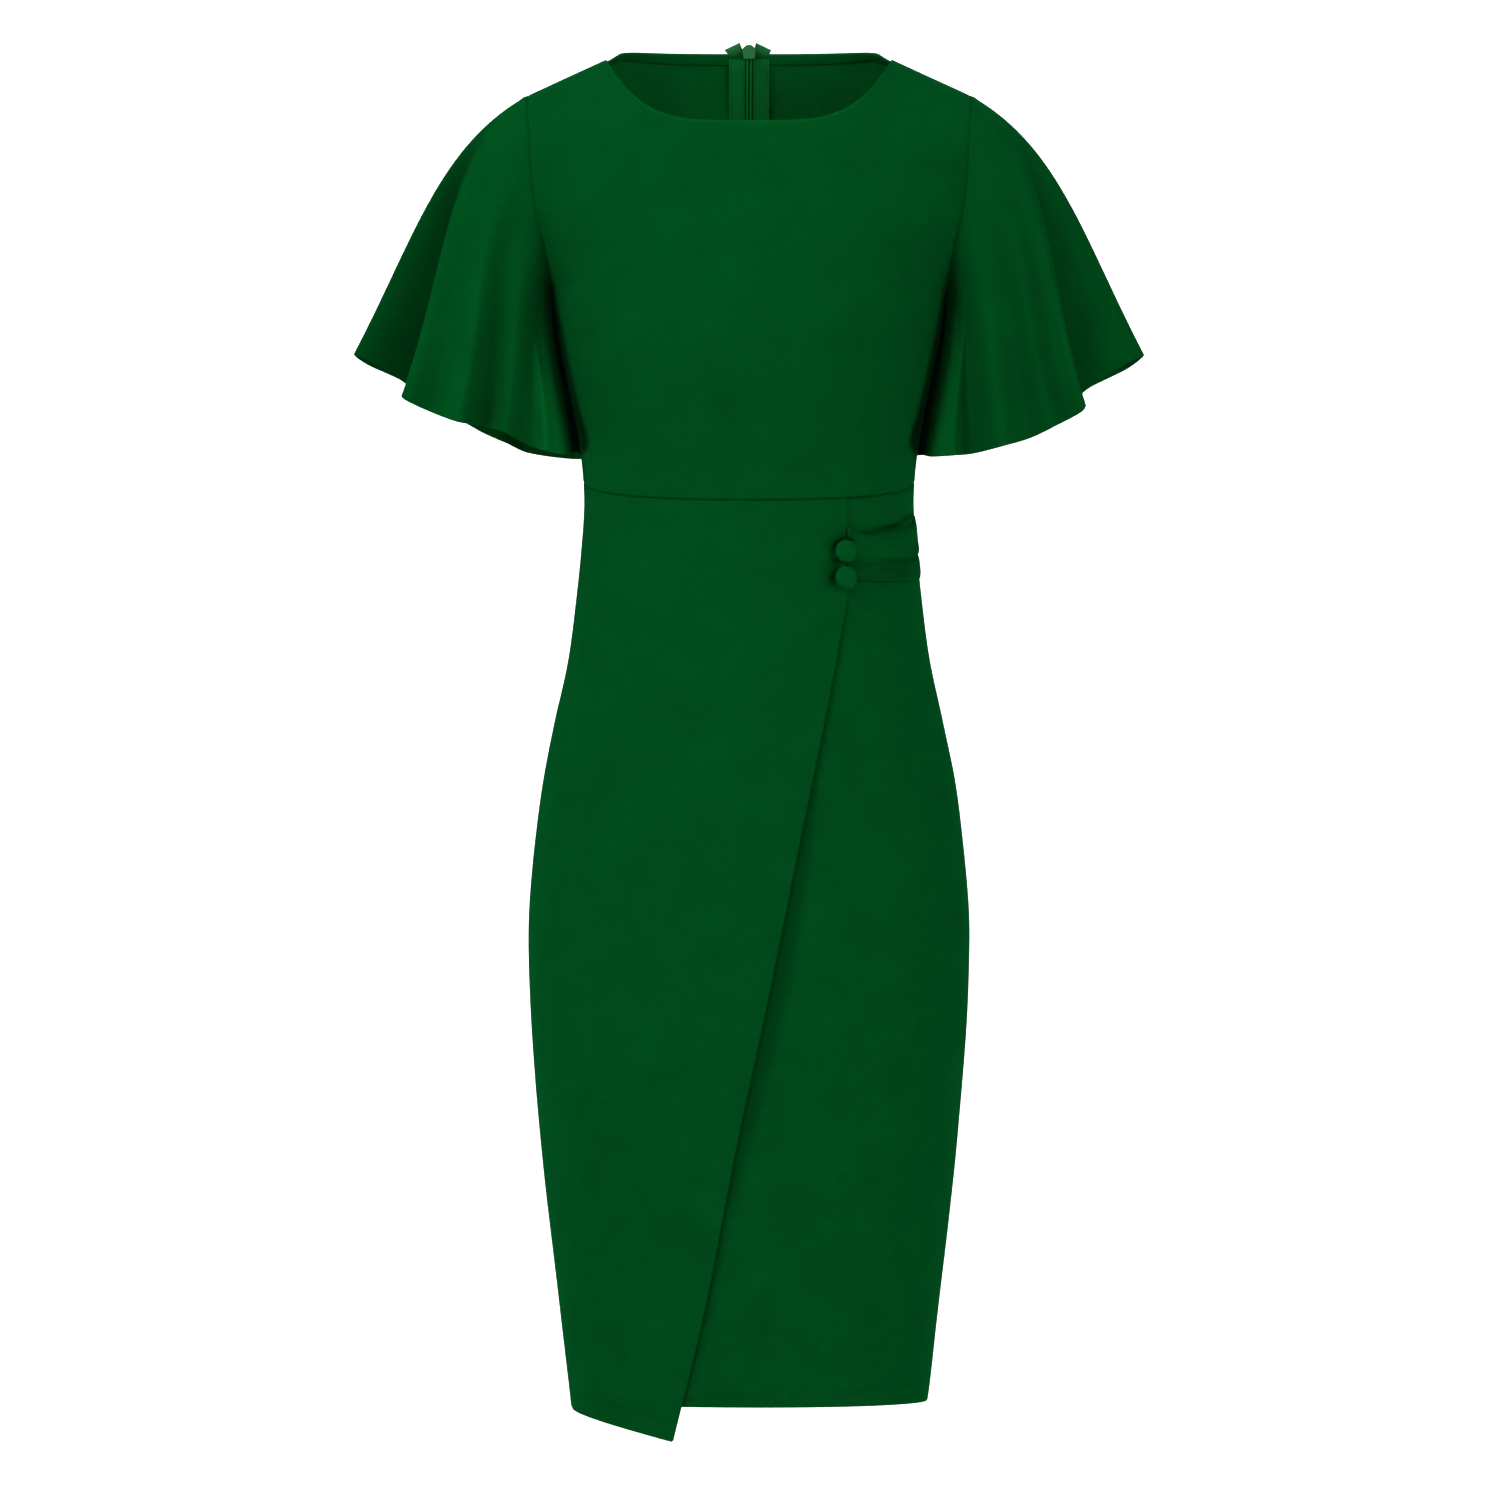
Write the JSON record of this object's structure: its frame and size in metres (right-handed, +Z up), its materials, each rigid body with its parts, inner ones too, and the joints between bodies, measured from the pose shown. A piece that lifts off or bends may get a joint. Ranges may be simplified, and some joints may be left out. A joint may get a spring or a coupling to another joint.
{
  "type": "bodycon dress",
  "caption": "Knee-length fitted dress, hollow as worn, with flutter sleeves, a boat neck, a diagonal wrap skirt, a buttoned side tab and a back zip.",
  "frame": {"origin": "midway between the neck ends of the two shoulder seams, where the wearer's shoulders hold the dress", "axes": "+Z up along the dress, -Y to the front, +X to the wearer's left"},
  "size_m": [0.593, 0.2399, 1.0422],
  "materials": {
    "crepe": "matte stretch crepe, bottle green",
    "button_cloth": "the same crepe drawn over a dome",
    "zip_tape": "smooth woven tape, slightly glossy",
    "zip_chain": "fine nylon coil",
    "zip_metal": "green lacquer"
  },
  "bodies": {
    "dress": {"bodice_front": "crepe", "bodice_back_left": "crepe", "bodice_back_right": "crepe", "skirt_front_wrap": "crepe", "skirt_front_under": "crepe", "skirt_back_left": "crepe", "skirt_back_right": "crepe", "sleeve_left": "crepe", "sleeve_right": "crepe", "waist_tab": "crepe", "button_upper": "button_cloth", "button_lower": "button_cloth", "zip_tape_left": "zip_tape", "zip_tape_right": "zip_tape", "zip_chain": "zip_chain", "zip_slider": "zip_metal"},
    "pull": {"zip_pull": "zip_metal"}
  },
  "joints": [
    {"name": "zip_pull_swing", "type": "hinge", "parent": "dress", "child": "pull", "pos_m": [0, 0.04234, 0.00366], "axis": [1, 0, 0], "range_deg": [0, 150]}
  ]
}
